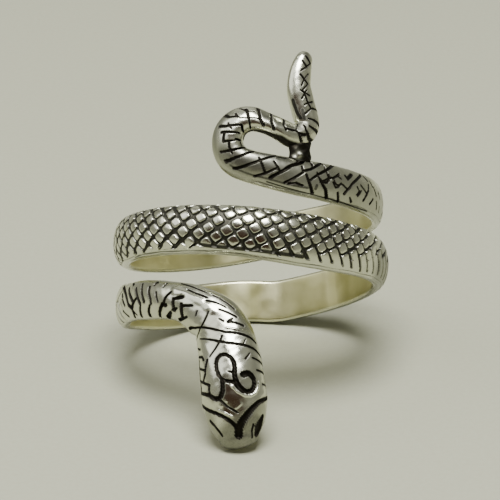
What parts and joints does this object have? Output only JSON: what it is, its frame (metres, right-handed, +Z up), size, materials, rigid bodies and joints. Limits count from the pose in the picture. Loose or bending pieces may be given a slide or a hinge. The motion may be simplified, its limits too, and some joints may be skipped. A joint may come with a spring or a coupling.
{
  "type": "snake wrap ring",
  "caption": "Finger ring: a scaled snake coiled as an open band, with an engraved head hanging down the finger and a looped tail standing up.",
  "frame": {"origin": "floor under the middle of the ring's bounding box, as it stands by itself on its snout and on the lowest edge of its first turn", "axes": "+Z up from the floor, -Y towards the snout and the front of the ring, +X to the right seen from the front; the finger's axis leans back 33.3 degrees from +Z towards +Y"},
  "size_m": [0.021, 0.0276, 0.0245],
  "materials": {
    "silver": "polished, with blackened grooves"
  },
  "bodies": {
    "root": {"snake_ring": "silver"}
  },
  "joints": []
}
